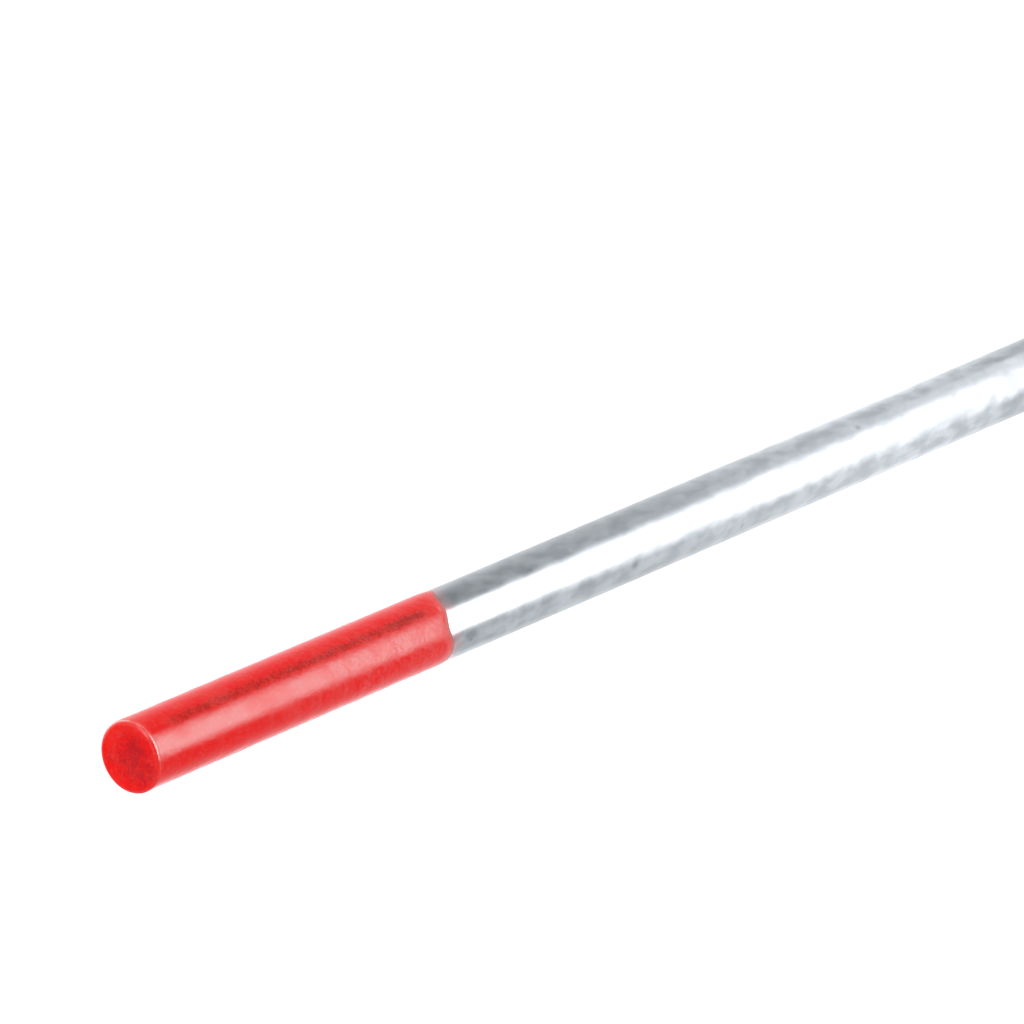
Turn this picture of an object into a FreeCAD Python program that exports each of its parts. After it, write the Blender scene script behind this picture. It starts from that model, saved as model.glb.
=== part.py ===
import FreeCAD, Part
import math
import os

# TIG welding electrode: a ground tungsten rod whose back end is dipped in red lacquer,
# the colour that tells the alloy. Millimetres. The rod lies along X with its middle at
# the origin, and its painted end points to +X.

# Ground rod
rod_diameter = 2.4
rod_length = 150.0
edge_break = 0.12  # radius that tumbling leaves round both cut ends

# Lacquer film on the back end
painted_length = 15.4  # from the rod's end face to the paint line
film_at_end = 0.045  # on the end face and on the wall beside it
film_at_line = 0.03  # on the wall just short of the paint line, where the film drained thinner
lip_run = 0.22  # length over which the film runs out to nothing at the paint line
drain_hollow = 0.001  # how far the drained wall dips under a straight taper, halfway along it

rod_radius = rod_diameter / 2
end_x = rod_length / 2
rod_axis = FreeCAD.Vector(1, 0, 0)


def point(x, radius):
    """A point of a half section, in the XZ plane."""
    return FreeCAD.Vector(x, 0, radius)


def revolved(edges):
    """The solid that a closed half section sweeps round the rod's axis."""
    section = Part.Face(Part.Wire(edges))
    return section.revolve(FreeCAD.Vector(0, 0, 0), rod_axis, 360)


def quarter_arc(center_x, center_radius, radius, side):
    """A quarter circle from the wall round to an end face, side +1 towards +X and -1 towards -X."""
    reach = radius * math.sqrt(0.5)
    start = point(center_x, center_radius + radius)
    middle = point(center_x + side * reach, center_radius + reach)
    end = point(center_x + side * radius, center_radius)
    return Part.Arc(start, middle, end).toShape()


def tungsten_rod():
    """The bare rod: a ground wall between two square cuts with broken edges."""
    wall_end = end_x - edge_break
    face_radius = rod_radius - edge_break
    return revolved([
        Part.makeLine(point(-end_x, 0), point(end_x, 0)),
        Part.makeLine(point(end_x, 0), point(end_x, face_radius)),
        quarter_arc(wall_end, face_radius, edge_break, 1),
        Part.makeLine(point(wall_end, rod_radius), point(-wall_end, rod_radius)),
        quarter_arc(-wall_end, face_radius, edge_break, -1),
        Part.makeLine(point(-end_x, face_radius), point(-end_x, 0)),
    ])


def lip_arc(line_x):
    """The film's edge: an arc that leaves the bare rod at the paint line and levels into the wall."""
    radius = (lip_run ** 2 + film_at_line ** 2) / (2 * film_at_line)
    turn = math.asin(lip_run / radius)
    top = point(line_x + lip_run, rod_radius + film_at_line)
    middle = top + point(-radius * math.sin(turn / 2), -radius * (1 - math.cos(turn / 2)))
    return Part.Arc(point(line_x, rod_radius), middle, top).toShape()


def drained_wall(line_x, wall_end):
    """The film's outside: a parabola that thickens slowly towards the end, where the lacquer drained to."""
    start = point(line_x + lip_run, rod_radius + film_at_line)
    end = point(wall_end, rod_radius + film_at_end)
    pull = (start + end) * 0.5 - point(0, 2 * drain_hollow)
    curve = Part.BezierCurve()
    curve.setPoles([start, pull, end])
    return curve.toShape()


def red_end_coat():
    """The dried film alone: a thin cup that fits the rod face to face.

    Its rim is the rod's broken edge with the film's thickness added, so it stays even there.
    """
    wall_end = end_x - edge_break
    face_radius = rod_radius - edge_break
    outer_face_x = end_x + film_at_end
    line_x = end_x - painted_length
    return revolved([
        lip_arc(line_x),
        drained_wall(line_x, wall_end),
        quarter_arc(wall_end, face_radius, edge_break + film_at_end, 1),
        Part.makeLine(point(outer_face_x, face_radius), point(outer_face_x, 0)),
        Part.makeLine(point(outer_face_x, 0), point(end_x, 0)),
        Part.makeLine(point(end_x, 0), point(end_x, face_radius)),
        quarter_arc(wall_end, face_radius, edge_break, 1),
        Part.makeLine(point(wall_end, rod_radius), point(line_x, rod_radius)),
    ])


def single_solid(shape, name):
    """The one solid of a sub-part, checked before it is written."""
    if len(shape.Solids) != 1 or not shape.isValid():
        raise ValueError(name + " is not one valid solid")
    return shape.Solids[0]


rod = single_solid(tungsten_rod(), "tungsten_rod")
coat = single_solid(red_end_coat(), "red_end_coat")

os.makedirs("parts", exist_ok=True)
for name, solid in (("tungsten_rod", rod), ("red_end_coat", coat)):
    solid.exportStep(os.path.join("parts", name + ".step"))
    print(name, "volume", round(solid.Volume, 4), "mm3, area", round(solid.Area, 3), "mm2")
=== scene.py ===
import math

import bpy
import numpy as np
from mathutils import Matrix, Vector


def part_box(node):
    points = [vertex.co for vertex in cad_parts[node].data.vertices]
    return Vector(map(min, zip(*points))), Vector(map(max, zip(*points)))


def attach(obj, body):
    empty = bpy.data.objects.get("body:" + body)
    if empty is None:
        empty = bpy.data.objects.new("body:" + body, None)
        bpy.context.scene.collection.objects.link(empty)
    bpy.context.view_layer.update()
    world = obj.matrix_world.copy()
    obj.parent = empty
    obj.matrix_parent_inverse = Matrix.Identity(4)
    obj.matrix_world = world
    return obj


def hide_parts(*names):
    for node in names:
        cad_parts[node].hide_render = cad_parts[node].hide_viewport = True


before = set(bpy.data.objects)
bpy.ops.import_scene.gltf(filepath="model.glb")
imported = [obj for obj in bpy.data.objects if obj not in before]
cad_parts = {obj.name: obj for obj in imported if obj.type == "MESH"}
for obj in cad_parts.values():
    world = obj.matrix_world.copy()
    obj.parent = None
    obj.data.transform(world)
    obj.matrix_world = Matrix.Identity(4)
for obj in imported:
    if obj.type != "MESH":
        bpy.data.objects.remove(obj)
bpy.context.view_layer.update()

# A TIG electrode: a ground tungsten rod along X whose +X end was dipped in red lacquer.
# Lengths here are millimetres and angles are degrees. An angle round the rod is counted from +Y
# towards +Z. A distance along it is counted from the painted end face towards -X. A place along X
# is the frame's own, with 0 halfway along the rod.

rng = np.random.default_rng(24)
mm = 0.001
rodLow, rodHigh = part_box("tungsten_rod")
endX = rodHigh.x / mm
rodRadius = rodHigh.z / mm
print("frame loaded: rod", round(2 * endX, 2), "mm long,", round(2 * rodRadius, 3), "mm thick")


def ramp(value, low, high):
    # smooth step: 0 below low, 1 above high, and 3t^2 - 2t^3 between them
    t = np.clip((value - low) / (high - low), 0, 1)
    return t * t * (3 - 2 * t)


def aroundBy(angle, centre):
    # signed angle from centre, wrapped into -180 to 180 degrees
    return (angle - centre + 180) % 360 - 180


def ripples(x, angle, waves):
    # sum of plane waves along the rod that close on themselves round it:
    # height * sin(2 pi x / length + lobes * angle + phase), one row of waves for each
    a = np.radians(angle)
    total = np.zeros(np.broadcast(x, angle).shape)
    for length, lobes, phase, height in waves:
        total += height * np.sin(2 * np.pi * x / length + lobes * a + phase)
    return total


def randomWaves(count, lengths, lobeRange, height):
    # seeded waves with lengths between the two given, each turned by a phase of its own
    length = rng.uniform(*lengths, count) * rng.choice([-1, 1], count)
    lobes = rng.integers(lobeRange[0], lobeRange[1] + 1, count)
    phase = rng.uniform(0, 2 * np.pi, count)
    size = height * rng.uniform(0.4, 1, count) / math.sqrt(count)
    return np.column_stack([length, lobes, phase, size])


def turnedSurface(name, x, radius, angle, poles, layers):
    # surface of revolution with a free radius: point(i, j) = (x, radius cos angle, radius sin angle)
    # for ring i and angle j, closed round the axis, and by a pole before the first ring and one
    # after the last. Each layer is a value per point that a material reads.
    rings, around = x.shape
    a = np.radians(angle)[None, :]
    body = np.stack([x, radius * np.cos(a), radius * np.sin(a)], axis=2).reshape(-1, 3)
    ends = np.array([[poles[0], 0, 0], [poles[1], 0, 0]])
    points = np.vstack([ends[:1], body, ends[1:]]) * mm
    ring = 1 + np.arange(around)
    nextRing = np.roll(ring, -1)
    steps = around * np.arange(rings - 1)[:, None]
    quads = [ring + steps + around, nextRing + steps + around, nextRing + steps, ring + steps]
    last = (rings - 1) * around
    startFan = np.column_stack([ring, nextRing, np.zeros(around, int)])
    endFan = np.column_stack([nextRing + last, ring + last, np.full(around, len(points) - 1)])
    faces = np.stack(quads, axis=2).reshape(-1, 4).tolist() + startFan.tolist() + endFan.tolist()
    mesh = bpy.data.meshes.new(name)
    mesh.from_pydata(points.tolist(), [], faces)
    for layer, values in layers.items():
        data = mesh.attributes.new(layer, "FLOAT", "POINT").data
        flat = np.concatenate([values[:1, 0], values.reshape(-1), values[-1:, 0]])
        data.foreach_set("value", flat.astype(np.float32))
    mesh.polygons.foreach_set("use_smooth", np.ones(len(mesh.polygons), bool))
    mesh.update()
    piece = bpy.data.objects.new(name, mesh)
    bpy.context.scene.collection.objects.link(piece)
    print("made", name, "with", len(mesh.polygons), "faces")
    return piece


def addNode(tree, kind, **settings):
    # one shader node, with its properties and unlinked inputs set by name
    node = tree.nodes.new("ShaderNode" + kind)
    for key, value in settings.items():
        if hasattr(node, key):
            setattr(node, key, value)
        else:
            node.inputs[key.replace("_", " ")].default_value = value
    return node


def newMaterial(name):
    # an empty node material and the tree that its maker fills
    material = bpy.data.materials.new(name)
    material.use_nodes = True
    tree = material.node_tree
    tree.nodes.clear()
    return material, tree


def objectPattern(tree, stretch):
    # Object coordinates in millimetres, stretched by the given factors along X, Y and Z
    place = addNode(tree, "TexCoord")
    scale = addNode(tree, "Mapping", Scale=tuple(1000 * s for s in stretch))
    tree.links.new(place.outputs["Object"], scale.inputs["Vector"])
    return scale.outputs["Vector"]


def noise(tree, vector, perMm, detail):
    # cloudy noise with perMm clouds to a millimetre
    grain = addNode(tree, "TexNoise", Scale=perMm, Detail=detail, Roughness=0.5)
    tree.links.new(vector, grain.inputs["Vector"])
    return grain.outputs["Fac"]


def layer(tree, name):
    # a value that the surface's maker gave to each point
    return addNode(tree, "Attribute", attribute_name=name).outputs["Fac"]


def remap(tree, value, fromLow, fromHigh, toLow, toHigh, smooth=False):
    # straight or smooth-step change of one range into another
    node = addNode(tree, "MapRange", interpolation_type="SMOOTHSTEP" if smooth else "LINEAR",
                   From_Min=fromLow, From_Max=fromHigh, To_Min=toLow, To_Max=toHigh)
    tree.links.new(value, node.inputs["Value"])
    return node.outputs["Result"]


def patches(tree, vector, pattern, smooth=True):
    # noise turned into patches: least where it is below starts, and most where it is above full
    perMm, detail, starts, full, least, most = pattern
    return remap(tree, noise(tree, vector, perMm, detail), starts, full, least, most, smooth)


def mathNode(tree, operation, first, second):
    # a sum or product of two values, of which the second may be a plain number
    node = addNode(tree, "Math", operation=operation)
    tree.links.new(first, node.inputs[0])
    if isinstance(second, (int, float)):
        node.inputs[1].default_value = second
    else:
        tree.links.new(second, node.inputs[1])
    return node.outputs[0]


def times(tree, first, second):
    return mathNode(tree, "MULTIPLY", first, second)


def tint(tree, below, above, share):
    # a plain colour laid by share over what is below it, a socket or a plain colour too
    node = addNode(tree, "Mix", data_type="RGBA")
    underneath, onTop = node.inputs[6:8]
    onTop.default_value = (*above, 1)
    if isinstance(below, tuple):
        underneath.default_value = (*below, 1)
    else:
        tree.links.new(below, underneath)
    tree.links.new(share, node.inputs["Factor"])
    return node.outputs[2]


def bump(tree, height, reach, below=None):
    # relief laid at half strength over what is below it; reach is its rise in millimetres from 0 to 1
    node = addNode(tree, "Bump", Strength=0.5, Distance=reach * mm)
    tree.links.new(height, node.inputs["Height"])
    if below is not None:
        tree.links.new(below, node.inputs["Normal"])
    return node.outputs["Normal"]


def shine(tree, colour, roughness, normal, **fixed):
    # the surface shader; what is the same all over is set on its own sockets
    shader = addNode(tree, "BsdfPrincipled")
    for socket, value in fixed.items():
        shader.inputs[socket.replace("_", " ")].default_value = value
    tree.links.new(colour, shader.inputs["Base Color"])
    tree.links.new(roughness, shader.inputs["Roughness"])
    tree.links.new(normal, shader.inputs["Normal"])
    out = addNode(tree, "OutputMaterial")
    tree.links.new(shader.outputs["BSDF"], out.inputs["Surface"])


paintLine = {
    # angle round the rod, and how far from the end face the paint line crosses it. The front half
    # is as the photograph shows it, and the back half runs on evenly.
    "points": [(100.7, 15.92), (92.6, 15.75), (80.6, 15.53), (71.6, 15.40), (63.6, 15.40), (49.6, 15.31),
               (36.6, 15.22), (23.6, 15.09), (10.6, 15.10), (-3.4, 15.24), (-20.4, 15.31), (-31.4, 15.28),
               (-39.4, 15.34), (-100, 15.52), (-160, 15.62), (-200, 15.75)],
    "step": 3.0,  # degrees between the even points that are smoothed
    "roundOff": 14.0,  # waves round the rod past which the line is smoothed away
}

groundRod = {
    "edgeBreak": 0.12,  # radius round both cut ends
    "segments": 200,
    "arcRings": 9,  # rings over each rounded edge
    "faceRings": 9,  # rings over each end face, the first of them at firstRing of its radius
    "firstRing": 0.12,
    "plainStep": 1.6,  # between rings along the plain wall
    "closeStep": 0.22,  # between rings along the close stretch behind the painted end
    "closeLength": 50.0,
    "pitRings": 19,  # closer rings over each pit, out to pitReach of its half length
    "pitReach": 2.2,
    "waves": 40,
    "waviness": 0.0017,
    "waveLengths": (0.8, 2.4),
    "lobes": (3, 12),  # fewest and most waves round the rod
    # small pits: distance, angle, half length, half width, depth, darkness
    "pits": [(16.18, -16, 0.09, 0.07, 0.0, 0.5), (25.0, -8, 0.20, 0.16, 0.0, 0.65),
             (31.0, -22, 0.10, 0.10, 0.001, 0.4), (38.2, 60, 0.12, 0.10, 0.001, 0.4)],
    # dull stains: distance, angle, half length, half width, strength
    "stains": [(16.2, 64, 0.35, 0.16, 0.6), (17.6, 54, 0.7, 0.20, 0.6), (19.8, 56, 0.6, 0.20, 1.2),
               (21.7, 52, 0.6, 0.18, 1.2), (23.0, 66, 0.4, 0.16, 0.8), (24.5, 55, 0.8, 0.2, 0.8),
               (28.0, 52, 0.9, 0.2, 0.6), (19.0, -12, 0.5, 0.16, 0.4), (22.4, -8, 0.6, 0.18, 0.8),
               (24.6, -20, 0.5, 0.16, 0.5), (33.0, -15, 1.0, 0.2, 0.5)],
}

lacquerCoat = {
    "filmAtEnd": 0.045,
    "filmAtLine": 0.03,
    # the film's smooth step up, counted from the paint line: it starts just past the line, so that
    # the rim isn't a knife edge, and the film is full at lipRun
    "lipStart": -0.06,
    "lipRun": 0.5,
    "segments": 256,
    "arcRings": 15,
    "faceRings": 26,  # rings over the end face, the first of them at firstRing of its radius
    "firstRing": 0.04,
    "lipRings": 13,  # closer rings over the first lipShare of the wall
    "lipShare": 0.03,
    "wallRings": 96,
    "innerRings": 13,
    "waves": 40,
    "orangePeel": 0.003,
    "peelRun": 0.5,  # the peel grows to its full height over this length from the paint line
    "peelLengths": (0.5, 2.5),
    "lobes": (0, 12),
    "seated": 0.002,  # the film's inner face lies this far inside the rod's own face
    "thinRun": 0.24,  # the film is thin enough to pale over this length
    "drainedSheenRun": 1.1,  # the film lets some metal through over this length, and is painted paler there as a stand-in for its brighter reflection
    # darker stains on the end face: across Y, up Z, half width, half height, strength
    "faceStains": [(0.32, 0.28, 0.24, 0.26, 1.0), (0.30, 0.10, 0.62, 0.66, 0.75),
                   (0.85, -0.25, 0.36, 0.32, 0.5), (0.35, -0.60, 0.50, 0.35, 0.5),
                   (-0.35, -0.15, 0.50, 0.40, 0.45), (0.10, 0.65, 0.45, 0.28, 0.4)],
    "mostFaceStain": 1.4,
    # how far past the rod's own end face the face stains set in, and where they are full
    "stainFrom": -0.02,
    "stainFull": 0.03,
    # the painted highlight on the rounded rim, strongest on the upper side where the light falls: angle,
    # how far in front of the wall's end it is palest, its half width, strength
    "rimHighlight": [(-30, 0.03, 0.02, 0.0), (0, 0.035, 0.03, 0.7), (45, 0.04, 0.035, 0.9),
                (90, 0.07, 0.05, 0.9), (140, 0.09, 0.07, 0.9), (185, 0.09, 0.06, 0.5),
                (225, 0.06, 0.04, 0.0)],
    "streakStart": 1.2,  # lengths over which a streak sets in and ends
    "streakEnd": 1.0,
    # dark streaks along the wall: first and last distance, angle, half width in degrees, strength
    "streaks": [(0.6, 14.9, 57.0, 7.5, 1.0), (12.2, 14.6, 60.0, 6.5, 0.7)],
}


def lineDistance(angle):
    # straight lines through the paint line's points, closed round the rod and rounded off: term k of
    # their Fourier sum fades by exp(-(k / roundOff)^2)
    known, distances = np.array(paintLine["points"]).T
    even = np.arange(0, 360, paintLine["step"])
    level = np.interp(even, known, distances, period=360)
    terms = np.fft.rfft(level)
    fade = np.exp(-(np.arange(len(terms)) / paintLine["roundOff"]) ** 2)
    count = np.arange(len(terms))[:, None]
    wave = np.exp(1j * count * np.radians(np.ravel(angle))[None, :]) * (terms * fade)[:, None]
    weight = np.where(count == 0, 1, 2)
    return np.real(wave * weight).sum(0).reshape(np.shape(angle)) / len(even)


def spots(along, angle, radius, rows):
    # sum of round hills: strength * exp(-(dx/half length)^2 - (arc/half width)^2)
    total = np.zeros(along.shape)
    for distance, middle, halfLength, halfWidth, strength in rows:
        arc = np.radians(aroundBy(angle, middle)) * radius
        total += strength * np.exp(-((along - distance) / halfLength) ** 2 - (arc / halfWidth) ** 2)
    return total


def evenSteps(start, stop, step):
    # from start to stop in even steps as near as can be to step
    return np.linspace(start, stop, max(2, int(round(abs(stop - start) / step)) + 1))


def makeGroundRod():
    # half section from the -X pole to the +X pole, turned round X: face, quarter round, wall, quarter
    # round, face. Radius = half section + sum of waves - pits, both only on the wall.
    spec = groundRod
    edge = spec["edgeBreak"]
    faceRadius = rodRadius - edge
    turn = np.radians(np.linspace(0, 90, spec["arcRings"]))
    faceOut = np.linspace(spec["firstRing"], 1, spec["faceRings"])[:-1] * faceRadius
    closeX = endX - spec["closeLength"]
    overPit = np.linspace(-spec["pitReach"], spec["pitReach"], spec["pitRings"])
    wall = [evenSteps(edge - endX, closeX, spec["plainStep"])[1:-1],
            evenSteps(closeX, endX - edge, spec["closeStep"])[:-1]]
    wall += [endX - pit[0] + overPit * pit[2] for pit in spec["pits"]]
    wall = np.unique(np.concatenate(wall).round(4))
    xLine = np.concatenate([
        np.full(len(faceOut), -endX), -endX + edge * (1 - np.cos(turn)), wall,
        endX - edge * (1 - np.sin(turn)), np.full(len(faceOut), endX)])
    rLine = np.concatenate([
        faceOut, faceRadius + edge * np.sin(turn), np.full(len(wall), rodRadius),
        faceRadius + edge * np.cos(turn), faceOut[::-1]])
    angle = np.arange(spec["segments"]) * 360 / spec["segments"]
    x = np.repeat(xLine[:, None], len(angle), axis=1)
    base = np.repeat(rLine[:, None], len(angle), axis=1)
    along = endX - x
    onWall = ramp(base, faceRadius, rodRadius)
    waves = randomWaves(spec["waves"], spec["waveLengths"], spec["lobes"], spec["waviness"])
    wavy = ripples(x, angle[None, :], waves)
    pits = spots(along, angle[None, :], rodRadius, [pit[:5] for pit in spec["pits"]])
    radius = base + onWall * (wavy - pits)
    stains = spots(along, angle[None, :], rodRadius, spec["stains"])
    pitMark = spots(along, angle[None, :], rodRadius, [pit[:4] + pit[5:] for pit in spec["pits"]])
    pastLine = along - lineDistance(angle)[None, :]
    return turnedSurface("groundRod", x, radius, angle, (-endX, endX),
                         {"stain": stains, "pitMark": pitMark, "pastLine": pastLine})


def makeLacquerCoat():
    # closed shell from the inner pole along the rod's own face to the paint line, and back over the
    # lip and the outer wall to the outer pole. The film's thickness is a straight rise from
    # filmAtLine to filmAtEnd, times a smooth step over the lip, plus a sum of waves for the peel.
    spec = lacquerCoat
    edge = groundRod["edgeBreak"]
    faceRadius = rodRadius - edge
    wallEnd = endX - edge
    angle = np.arange(spec["segments"]) * 360 / spec["segments"]
    lineX = endX - lineDistance(angle)[None, :]
    turn = np.radians(np.linspace(0, 90, spec["arcRings"]))[:, None]
    faceOut = (np.linspace(spec["firstRing"], 1, spec["faceRings"])[:-1] * faceRadius)[:, None]
    ones = np.ones((1, len(angle)))
    inner = spec["seated"]
    # rings shared out over the wall from the paint line to the rim, closer near the line
    share = np.concatenate([np.linspace(0, spec["lipShare"], spec["lipRings"])[:-1],
                            np.linspace(spec["lipShare"], 1, spec["wallRings"])])[:, None]
    wallX = lineX + share * (wallEnd - lineX)
    fromLine = wallX - lineX
    film = spec["filmAtLine"] + (spec["filmAtEnd"] - spec["filmAtLine"]) * share
    film = film * ramp(fromLine, spec["lipStart"], spec["lipRun"])
    peelWaves = randomWaves(spec["waves"], spec["peelLengths"], spec["lobes"], spec["orangePeel"])
    peel = ripples(wallX, angle[None, :], peelWaves) * ramp(fromLine, 0, spec["peelRun"])
    outerRadius = rodRadius + film + peel
    innerShare = np.linspace(1, 0, spec["innerRings"])[:, None]
    innerX = lineX + innerShare * (wallEnd - lineX)
    outRim = edge + spec["filmAtEnd"]
    x = np.concatenate([
        (endX - inner) * np.ones_like(faceOut) * ones,
        (wallEnd + (edge - inner) * np.cos(turn)) * ones,
        innerX[1:-1],
        wallX,
        (wallEnd + outRim * np.sin(turn[1:])) * ones,
        (endX + spec["filmAtEnd"]) * np.ones_like(faceOut) * ones])
    radius = np.concatenate([
        faceOut * ones,
        (faceRadius + (edge - inner) * np.sin(turn)) * ones,
        (rodRadius - inner) * np.ones_like(innerX[1:-1]),
        outerRadius - inner * (share == 0),
        (faceRadius + outRim * np.cos(turn[1:])) * ones,
        faceOut[::-1] * ones])
    # the peel fades out round the rim
    rimStart = len(faceOut) + len(turn) + len(innerX) - 2 + len(share)
    radius[rimStart:rimStart + len(turn) - 1] += peel[-1:] * np.cos(turn[1:]) ** 2
    around = angle[None, :] * np.ones(x.shape)
    layers = {"thin": 1 - ramp(x - lineX, 0, spec["thinRun"]),
              "drainedSheen": 1 - ramp(x - lineX, 0, spec["drainedSheenRun"])}
    # each face stain is a hill: strength * exp(-(dy/half width)^2 - (dz/half height)^2)
    y, z = radius * np.cos(np.radians(around)), radius * np.sin(np.radians(around))
    stain = np.zeros(x.shape)
    for acrossY, upZ, halfWidth, halfHeight, strength in spec["faceStains"]:
        stain += strength * np.exp(-((y - acrossY) / halfWidth) ** 2 - ((z - upZ) / halfHeight) ** 2)
    outside = ramp(x - endX, spec["stainFrom"], spec["stainFull"])
    layers["faceStain"] = np.clip(stain, 0, spec["mostFaceStain"]) * outside
    # the painted rim highlight is a ridge across the rounded edge: strength * exp(-(dx/half width)^2)
    rimAngle, *rimRows = np.array(spec["rimHighlight"]).T
    palest, halfWidth, strength = (np.interp(angle, rimAngle, row, period=360)[None, :] for row in rimRows)
    ridge = strength * np.exp(-((x - wallEnd - palest) / halfWidth) ** 2)
    layers["rimHighlight"] = ridge * (radius > faceRadius)
    # a streak is a ridge along the wall: strength * exp(-(angle/half width)^2), faded at both ends
    layers["streak"] = np.zeros(x.shape)
    for first, last, middle, halfWidth, strength in spec["streaks"]:
        setIn = ramp(endX - x, first, first + spec["streakStart"])
        leftOver = 1 - ramp(endX - x, last - spec["streakEnd"], last)
        ridge = np.exp(-(aroundBy(around, middle) / halfWidth) ** 2)
        layers["streak"] += strength * setIn * leftOver * ridge
    poles = (endX - inner, endX + spec["filmAtEnd"])
    return turnedSurface("lacquerCoat", x, radius, angle, poles, layers)


tungstenFinish = {
    "colour": (0.515, 0.530, 0.550),
    "dullColour": (0.415, 0.435, 0.455),
    "stainColour": (0.30, 0.32, 0.34),
    "residueColour": (0.66, 0.46, 0.48),
    "pitColour": (0.16, 0.17, 0.18),
    "stainShare": 0.9,
    "residueShare": 0.9,
    "residueRun": 0.6,  # the residue fades out this far past the paint line
    # grinding noise plus clouds where the metal is smoothest and roughest, and the roughness there
    "roughness": (0.3, 1.6, 0.10, 0.18),
    # patterns: patches per mm, detail, noise where they start and where they are full, least, most
    "dullClouds": (1.6, 2, 0.36, 0.66, 0, 1),
    "stainBreaks": (3.5, 3, 0.35, 0.65, 0.3, 1),
    "cloudStretch": (0.6, 1, 1),  # the patterns' scale along X, Y and Z
    "grindStretch": (5, 0.8, 0.8),
    "grindRelief": 0.0008,  # height of the marks that grinding leaves round the rod
    "softWaves": 1.4,  # broad waves per mm
    "softRelief": 0.0055,  # and their height
}


def tungstenMaterial():
    # grey metal, duller in clouds, darker in the stains and pits, and pinkish by the paint line.
    # Relief = fine grinding marks round the rod + soft broad waves.
    f = tungstenFinish
    material, tree = newMaterial("groundTungsten")
    wide = objectPattern(tree, f["cloudStretch"])
    grind = noise(tree, objectPattern(tree, f["grindStretch"]), 1, 2)
    clouds = patches(tree, wide, f["dullClouds"])
    colour = tint(tree, f["colour"], f["dullColour"], clouds)
    stain = times(tree, layer(tree, "stain"), patches(tree, wide, f["stainBreaks"], smooth=False))
    colour = tint(tree, colour, f["stainColour"], times(tree, stain, f["stainShare"]))
    residue = remap(tree, layer(tree, "pastLine"), 0, f["residueRun"], f["residueShare"], 0, smooth=True)
    colour = tint(tree, colour, f["residueColour"], residue)
    colour = tint(tree, colour, f["pitColour"], layer(tree, "pitMark"))
    uneven = mathNode(tree, "ADD", grind, clouds)
    roughness = remap(tree, uneven, *f["roughness"])
    normal = bump(tree, grind, f["grindRelief"])
    normal = bump(tree, noise(tree, wide, f["softWaves"], 2), f["softRelief"], normal)
    shine(tree, colour, roughness, normal, Metallic=1.0)
    return material


lacquerFinish = {
    "colour": (0.79, 0.0012, 0.0005),
    "warmColour": (0.76, 0.0050, 0.0012),
    "bloomColour": (0.78, 0.040, 0.034),
    "streakColour": (0.38, 0.0060, 0.0050),
    "streakGlaze": (0.64, 0.0140, 0.0050),
    "faceColour": (0.44, 0.0040, 0.0130),
    "faceGlaze": (0.62, 0.0070, 0.0040),
    "thinColour": (0.45, 0.11, 0.09),
    # paler colour near the paint line: thinning film, and a painted reflection standing in for its
    # brighter sheen
    "drainedSheenColour": (0.76, 0.013, 0.010),
    # colour of the painted highlight on the rim
    "rimHighlightColour": (0.80, 0.15, 0.13),
    "glazeShare": 0.75,
    "drainedSheenShare": 0.9,
    "roughness": (0.16, 0.26),
    # patterns: patches per mm, detail, noise where they start and where they are full, least, most
    "warmClouds": (1.2, 4, 0.40, 0.68, 0, 1),
    "bloom": (6, 3, 0.48, 0.72, 0, 0.4),
    # patches that break up the painted rim highlight
    "rimHighlightBreaks": (7, 2, 0.35, 0.60, 0.35, 1),
    # the dark specks are mixed from fine grit and broader patches
    "gritPerMm": 13,
    "patchPerMm": 4.5,
    "gritShare": 0.7,
    "speckSpread": 0.16,  # how many more specks there are where a stain or streak is strong
    "speckRange": (0.54, 0.72, 0, 0.8),  # noise where a speck starts and where it is full, least, most
    "speckEdge": (0.03, 0.3),  # strength of a stain or streak where its specks set in and are full
    "peelPerMm": 5,
    "peelRelief": 0.018,
}


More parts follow.
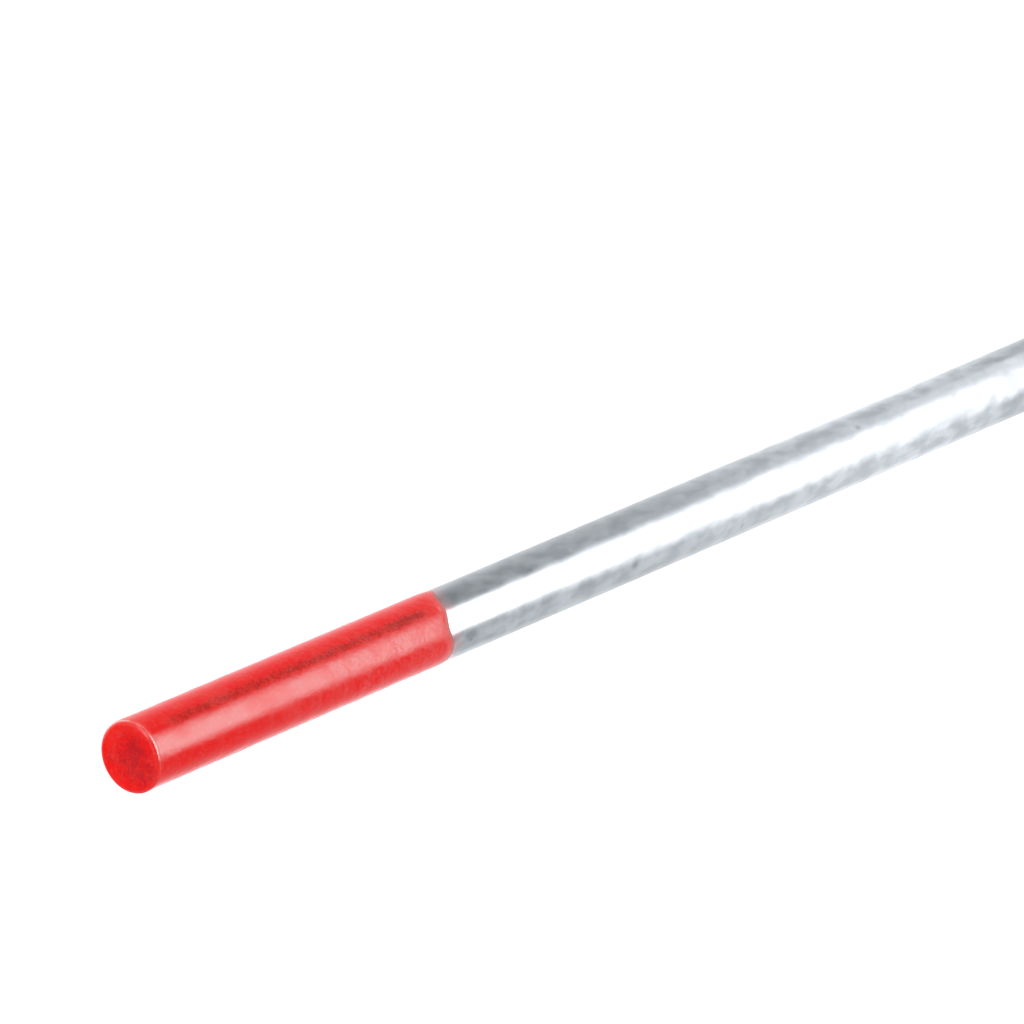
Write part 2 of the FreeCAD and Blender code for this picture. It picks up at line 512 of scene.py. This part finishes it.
def lacquerMaterial():
    # red lacquer, warmer and paler in clouds, glazed darker and speckled along the streaks and in the
    # middle of the end face, with a painted highlight on the upper rim, and thinning to the metal at the
    # paint line, painted paler there to stand in for its brighter reflection.
    # Speck noise = gritShare * grit + (1 - gritShare) * patches + speckSpread * strength of the stain.
    f = lacquerFinish
    material, tree = newMaterial("redLacquer")
    plain = objectPattern(tree, (1, 1, 1))
    clouds = patches(tree, plain, f["warmClouds"])
    colour = tint(tree, f["colour"], f["warmColour"], clouds)
    colour = tint(tree, colour, f["bloomColour"], patches(tree, plain, f["bloom"]))
    grit = times(tree, noise(tree, plain, f["gritPerMm"], 1), f["gritShare"])
    broad = times(tree, noise(tree, plain, f["patchPerMm"], 1), 1 - f["gritShare"])
    mixed = mathNode(tree, "ADD", grit, broad)
    for mark, glaze, dark in (("streak", f["streakGlaze"], f["streakColour"]),
                              ("faceStain", f["faceGlaze"], f["faceColour"])):
        level = layer(tree, mark)
        colour = tint(tree, colour, glaze, times(tree, level, f["glazeShare"]))
        specks = mathNode(tree, "ADD", mixed, times(tree, level, f["speckSpread"]))
        specks = remap(tree, specks, *f["speckRange"], smooth=True)
        inside = remap(tree, level, *f["speckEdge"], 0, 1)
        colour = tint(tree, colour, dark, times(tree, specks, inside))
    # painted reflection near the paint line: the thinning film is painted paler there, for its brighter
    # sheen as well as the metal showing through
    drainedSheen = times(tree, layer(tree, "drainedSheen"), f["drainedSheenShare"])
    colour = tint(tree, colour, f["drainedSheenColour"], drainedSheen)
    # painted highlight: the rounded rim is painted paler where it catches the light, broken up in patches
    rimHighlight = times(tree, layer(tree, "rimHighlight"), patches(tree, plain, f["rimHighlightBreaks"], smooth=False))
    colour = tint(tree, colour, f["rimHighlightColour"], rimHighlight)
    colour = tint(tree, colour, f["thinColour"], layer(tree, "thin"))
    roughness = remap(tree, clouds, 0, 1, *f["roughness"])
    normal = bump(tree, noise(tree, plain, f["peelPerMm"], 3), f["peelRelief"])
    shine(tree, colour, roughness, normal, IOR=1.5, Specular_Tint=(0.02, 1.0, 1.0, 1))
    return material


rodPiece = makeGroundRod()
rodPiece.data.materials.append(tungstenMaterial())
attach(rodPiece, "root")
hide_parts("tungsten_rod")

coatPiece = makeLacquerCoat()
coatPiece.data.materials.append(lacquerMaterial())
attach(coatPiece, "root")
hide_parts("red_end_coat")
print("pieces dressed")

stageSet = {
    "floorColour": (0.95, 0.95, 0.95),
    "floorHeight": -9.0,
    "floorReach": 6000.0,  # from the middle to each side
    "skyLight": 1.37,
    "dimTowards": (0.0, 0.87, 0.5),  # the sky is dimmer on this side
    "dimBy": 0.36,
}


def stageMesh(name, points, faces, material):
    # a mesh that belongs to the studio and not to the part, in metres
    mesh = bpy.data.meshes.new(name)
    mesh.from_pydata(points, [], faces)
    mesh.materials.append(material)
    item = bpy.data.objects.new(name, mesh)
    bpy.context.scene.collection.objects.link(item)
    return item


def makeFloor():
    # a flat pale square under the rod, left out of reflections
    material, tree = newMaterial("paleFloor")
    shader = addNode(tree, "BsdfPrincipled", Roughness=0.9)
    shader.inputs["Base Color"].default_value = (*stageSet["floorColour"], 1)
    shader.inputs["Specular IOR Level"].default_value = 0.0
    out = addNode(tree, "OutputMaterial")
    tree.links.new(shader.outputs["BSDF"], out.inputs["Surface"])
    reach, z = stageSet["floorReach"] * mm, stageSet["floorHeight"] * mm
    corners = [(-reach, -reach, z), (reach, -reach, z), (reach, reach, z), (-reach, reach, z)]
    floor = stageMesh("floor", corners, [(0, 1, 2, 3)], material)
    floor.visible_glossy = False


# A light tent round the rod, seen only in reflections. Its glow is a function of the place along X
# and of the angle round X.
lightTent = {
    "radius": 100.0,
    "halfLength": 600.0,
    "rings": 401,
    "segments": 180,
    "clothTint": (0.965, 1.000, 1.030),
    # glow of the cloth round the tent: angle, glow beside the painted end, glow beside the bare rod
    "clothRound": [(-150, 1.55, 0.48), (-130, 1.45, 0.42), (-107, 1.00, 0.48), (-93, 0.72, 0.45),
                   (-71, 0.38, 0.50), (-53, 0.24, 0.53), (-37, 0.21, 0.52), (0, 0.32, 0.50),
                   (40, 0.30, 0.50), (65, 0.22, 0.54), (85, 0.20, 0.56), (96, 0.20, 0.55),
                   (112, 0.25, 0.50), (130, 0.42, 0.507), (140, 0.58, 0.53), (152, 0.76, 0.57),
                   (167, 0.88, 0.60), (190, 0.98, 0.62)],
    # how much brighter the cloth is along the tent, overhead and underneath: place along X, share
    "alongOverhead": [(-100, 0.9), (-84, 2.25), (-72, 1.93), (-65, 1.53), (-59, 1.39), (-54, 1.40),
                      (-50, 1.52), (-44, 1.0)],
    "alongBelow": [(-100, 0.9), (-84, 2.9), (-64, 2.05), (-59, 1.98), (-55, 2.04), (-50, 2.08),
                   (-42, 1.0), (130, 1.0), (165, 0.15), (205, 0.15), (240, 1.0)],
    # where along X the glow beside the painted end starts, is full, is full to, and ends
    "besidePaint": (-48.5, -45.5, -14, 6),
    # panels: glow, middle angle, half angle of full glow above and below it, half angle where it ends
    # above and below it, then the places along X where it starts, is full, is full to, and ends
    "panels": [
        (7.3, 21, 14, 11, 50, 44, (-51.5, -47, -14, 6)),
        (2.0, 20, 20, 8, 64, 63, (-104, -84, -54, -46)),
        (17.0, 30, 16, 16, 44, 44, (30, 44, 97, 115)),
        (3.6, 160, 18, 18, 38, 38, (15, 35, 80, 100)),
        (5.0, 90, 10, 10, 30, 30, (-480, -400, -112, -92)),
        (5.0, 90, 10, 10, 30, 30, (0, 14, 24, 38)),
        (5.0, 90, 10, 10, 30, 30, (104, 134, 300, 400)),
    ],
}


def window(value, starts, full, fullTo, ends):
    # smooth step up from starts to full and down from fullTo to ends
    return ramp(value, starts, full) * (1 - ramp(value, fullTo, ends))


def tentGlow(x, around):
    # cloth(angle) * share(x) * tint + sum of panels: glow * window(angle) * window(x). The share goes
    # over from the one overhead to the one below within 30 degrees under the sides.
    s = lightTent
    under = ramp(-np.sin(np.radians(around)), 0, 0.5)
    overhead = np.interp(x, *np.array(s["alongOverhead"]).T)
    below = np.interp(x, *np.array(s["alongBelow"]).T)
    places, byPaint, byBare = np.array(s["clothRound"]).T
    paintShare = window(x, *s["besidePaint"])
    cloth = paintShare * np.interp(around, places, byPaint, period=360)
    cloth += (1 - paintShare) * np.interp(around, places, byBare, period=360)
    cloth = cloth * (overhead * (1 - under) + below * under)
    panels = np.zeros(x.shape)
    for glow, middle, fullUp, fullDown, endUp, endDown, reach in s["panels"]:
        off = aroundBy(around, middle)
        panels += glow * window(off, -endDown, -fullDown, fullUp, endUp) * window(x, *reach)
    return cloth[..., None] * np.array(s["clothTint"]) + panels[..., None]


def makeLightTent():
    # an open tube round X: point(i, j) = (x, radius cos angle, radius sin angle)
    s = lightTent
    xLine = np.linspace(-s["halfLength"], s["halfLength"], s["rings"])
    count = s["segments"]
    x, around = np.meshgrid(xLine, np.arange(count) * 360 / count, indexing="ij")
    a = np.radians(around)
    points = np.stack([x, s["radius"] * np.cos(a), s["radius"] * np.sin(a)], axis=2).reshape(-1, 3) * mm
    ring = np.arange(count)
    nextRing = np.roll(ring, -1)
    steps = count * np.arange(s["rings"] - 1)[:, None]
    quads = [ring + steps, nextRing + steps, nextRing + steps + count, ring + steps + count]
    faces = np.stack(quads, axis=2).reshape(-1, 4).tolist()
    material, tree = newMaterial("tentGlow")
    light = addNode(tree, "Emission")
    painted = addNode(tree, "Attribute", attribute_name="glow")
    tree.links.new(painted.outputs["Color"], light.inputs["Color"])
    out = addNode(tree, "OutputMaterial")
    tree.links.new(light.outputs["Emission"], out.inputs["Surface"])
    material.cycles.emission_sampling = "NONE"
    tent = stageMesh("lightTent", points.tolist(), faces, material)
    glow = tentGlow(x, around).reshape(-1, 3)
    colours = np.column_stack([glow, np.ones(len(glow))])
    tent.data.attributes.new("glow", "FLOAT_COLOR", "POINT").data.foreach_set("color", colours.ravel())
    tent.visible_camera = False
    tent.visible_diffuse = False
    tent.visible_shadow = False


# place in metres from the rod's middle, width in metres, watts
softLights = {
    "overheadLight": {"place": (0.25, -0.25, 1.1), "size": 1.0, "power": 0.25},
    "sideLight": {"place": (0.5, -0.9, 0.7), "size": 0.8, "power": 0.3},
}


def makeLights():
    # round lamps that face the rod's middle, out of sight and out of reflections
    for name, s in softLights.items():
        lamp = bpy.data.lights.new(name, "AREA")
        lamp.shape = "DISK"
        lamp.size = s["size"]
        lamp.energy = s["power"]
        light = bpy.data.objects.new(name, lamp)
        light.location = s["place"]
        light.rotation_euler = (-Vector(s["place"])).to_track_quat("-Z", "Y").to_euler()
        light.visible_camera = False
        light.visible_glossy = False
        bpy.context.scene.collection.objects.link(light)


def makeWorld():
    # soft light all round, skyLight * (1 - dimBy * direction along dimTowards), and plain white to
    # the camera
    world = bpy.data.worlds.new("studio")
    world.use_nodes = True
    tree = world.node_tree
    tree.nodes.clear()
    rays = addNode(tree, "LightPath")
    facing = addNode(tree, "VectorMath", operation="DOT_PRODUCT")
    tree.links.new(addNode(tree, "TexCoord").outputs["Generated"], facing.inputs[0])
    facing.inputs[1].default_value = stageSet["dimTowards"]
    light, dim = stageSet["skyLight"], stageSet["dimBy"]
    level = remap(tree, facing.outputs["Value"], -1, 1, light * (1 + dim), light * (1 - dim))
    seen = remap(tree, rays.outputs["Is Camera Ray"], 0, 1, 1, 0)
    level = mathNode(tree, "ADD", times(tree, level, seen), rays.outputs["Is Camera Ray"])
    sky = addNode(tree, "Background")
    tree.links.new(level, sky.inputs["Strength"])
    sky.inputs["Color"].default_value = (1, 1, 1, 1)
    out = addNode(tree, "OutputWorld")
    tree.links.new(sky.outputs["Background"], out.inputs["Surface"])
    bpy.context.scene.world = world


cameraSet = {
    "azimuth": 128.5,  # from -Y towards +X
    "elevation": 19.5,
    "distance": 400.0,
    "lens": 435.9,
    "pictureMiddle": (65.25, 8.01, 7.46),
}


def makeCamera():
    # back from the picture's middle by distance, along the direction of azimuth and elevation
    s = cameraSet
    a, e = math.radians(s["azimuth"]), math.radians(s["elevation"])
    back = Vector((math.sin(a) * math.cos(e), -math.cos(a) * math.cos(e), math.sin(e)))
    right = Vector((0, 0, 1)).cross(back).normalized()
    up = back.cross(right)
    lens = bpy.data.cameras.new("camera")
    lens.lens = s["lens"]
    lens.sensor_width = 36
    lens.clip_start = 0.01
    camera = bpy.data.objects.new("camera", lens)
    turn = Matrix((right, up, back)).transposed().to_4x4()
    place = (Vector(s["pictureMiddle"]) + back * s["distance"]) * mm
    camera.matrix_world = Matrix.Translation(place) @ turn
    bpy.context.scene.collection.objects.link(camera)
    bpy.context.scene.camera = camera


makeFloor()
makeLightTent()
makeLights()
makeWorld()
makeCamera()
bpy.context.scene.view_settings.view_transform = "Standard"
print("stage, lights and camera set")
